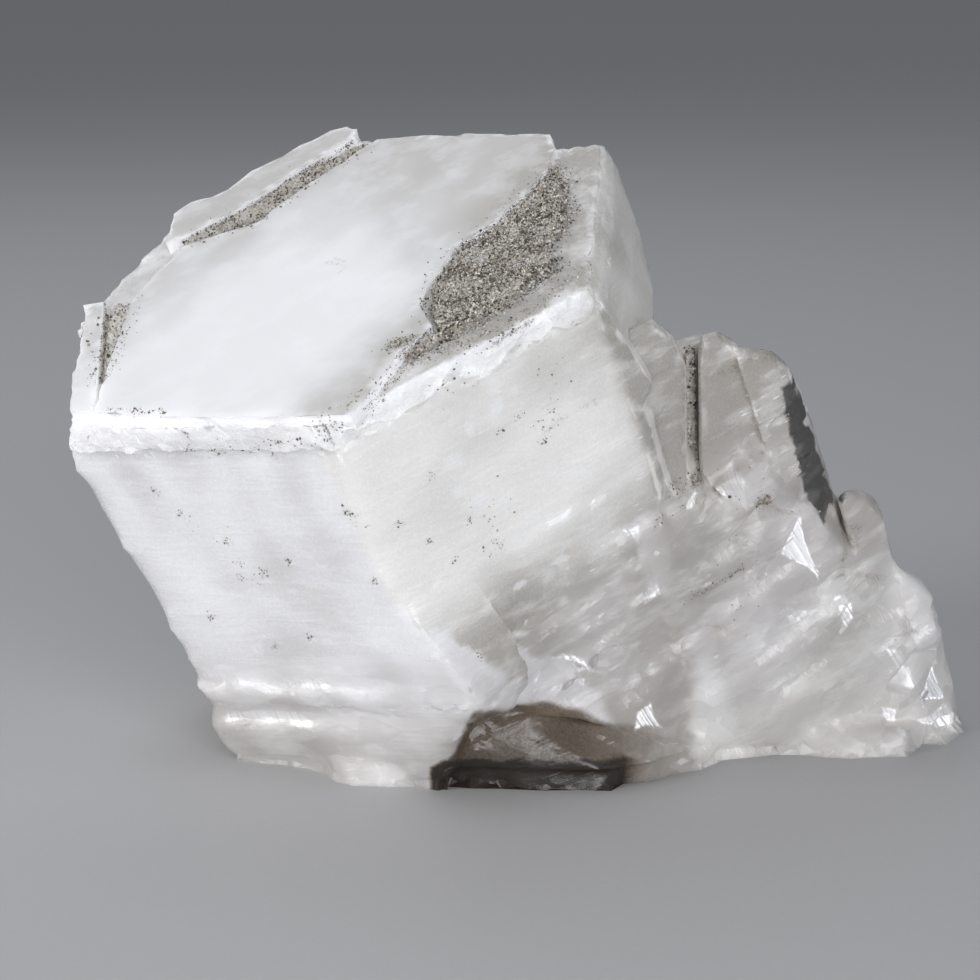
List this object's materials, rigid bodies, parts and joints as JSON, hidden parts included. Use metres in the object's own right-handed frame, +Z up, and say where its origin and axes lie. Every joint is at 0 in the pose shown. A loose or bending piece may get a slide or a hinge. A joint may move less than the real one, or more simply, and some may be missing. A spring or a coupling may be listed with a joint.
{
  "type": "calcite crystal specimen",
  "caption": "Intergrown tabular calcite crystal with a broad flat end, slim stepped columns beside it, cleaved ledges and thin drusy crusts.",
  "frame": {"origin": "on the flat rest face, under the middle of the specimen", "axes": "+Z up from the rest face; +X toward the side where the columns step down; -Y toward the front, where the smooth prism faces meet; +Y toward the broken back"},
  "size_m": [0.1308, 0.0942, 0.0877],
  "materials": {
    "calcite": "milky white, translucent, glossy on cleavage and crystal faces",
    "druse": "sparkling grey-brown grains with brassy flecks"
  },
  "bodies": {
    "root": {"calcite_crystals": "calcite", "druse_right": "druse", "druse_back": "druse", "druse_left": "druse", "druse_crevice": "druse"}
  },
  "joints": []
}
